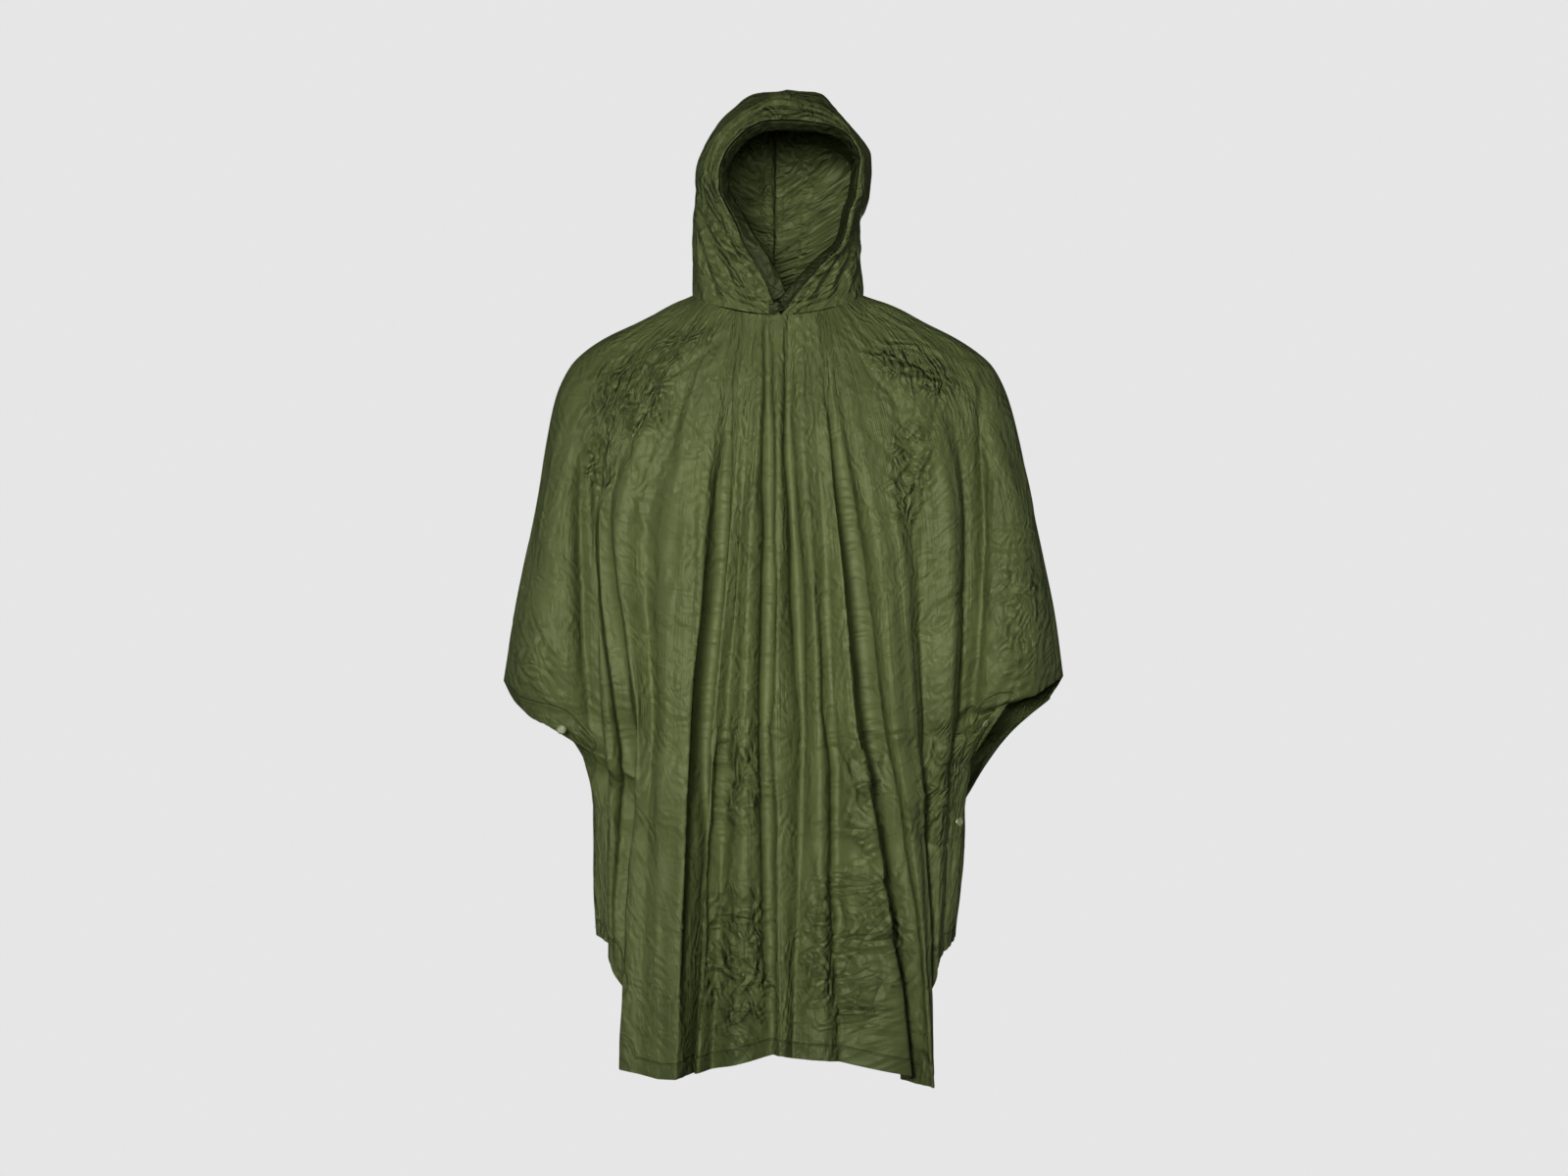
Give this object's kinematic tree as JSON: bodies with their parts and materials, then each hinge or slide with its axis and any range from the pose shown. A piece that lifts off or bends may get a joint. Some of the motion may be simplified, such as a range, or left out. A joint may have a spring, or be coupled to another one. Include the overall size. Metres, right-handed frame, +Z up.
{
  "type": "rain poncho",
  "caption": "Hooded slip-on rain poncho of thin olive vinyl, hanging open and hollow as it is worn, with a cased face opening and snaps at the sleeve edges and underarms.",
  "frame": {"origin": "middle of the neck, on the level of the shoulder tops", "axes": "+Z up, the face opening looks along -Y, +X to the right as seen from the front"},
  "size_m": [0.714, 0.3352, 1.2558],
  "materials": {
    "olive_vinyl": "calendered soft vinyl sheet, satin, finely creased",
    "olive_vinyl_casing": "soft vinyl sheet folded double and welded, satin",
    "olive_snap_plastic": "moulded plastic, glossy"
  },
  "bodies": {
    "root": {"front_panel": "olive_vinyl", "back_panel": "olive_vinyl", "hood_left": "olive_vinyl", "hood_right": "olive_vinyl", "face_casing": "olive_vinyl_casing", "snap_sleeve_left": "olive_snap_plastic", "snap_sleeve_right": "olive_snap_plastic", "snap_underarm_left": "olive_snap_plastic", "snap_underarm_right": "olive_snap_plastic"}
  },
  "joints": []
}
